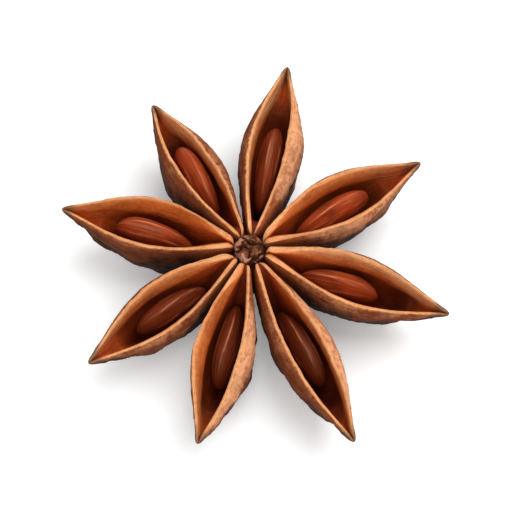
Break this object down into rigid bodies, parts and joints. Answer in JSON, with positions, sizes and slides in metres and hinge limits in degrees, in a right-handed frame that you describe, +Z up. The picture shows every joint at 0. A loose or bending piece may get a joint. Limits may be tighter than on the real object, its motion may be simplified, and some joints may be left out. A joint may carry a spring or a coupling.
{
  "type": "star anise pod",
  "caption": "Dried star-shaped spice pod of woody, boat-shaped carpels round a central column, each split open on top over a loose glossy seed.",
  "frame": {"origin": "bottom centre of the bounding box, on the surface the pod lies on, almost under the central column", "axes": "+Z up through the column, open side of the carpels up; +X to the right and -Y towards the viewer of the pod as pictured"},
  "size_m": [0.0362, 0.0386, 0.0083],
  "materials": {
    "husk": "dry, wrinkled red-brown husk with smooth orange-brown lips round each opening",
    "seed": "smooth, glossy red-brown seed coat"
  },
  "bodies": {
    "root": {"husk": "husk", "seed_1": "seed", "seed_2": "seed", "seed_3": "seed", "seed_4": "seed", "seed_5": "seed", "seed_6": "seed", "seed_7": "seed", "seed_8": "seed"}
  },
  "joints": []
}
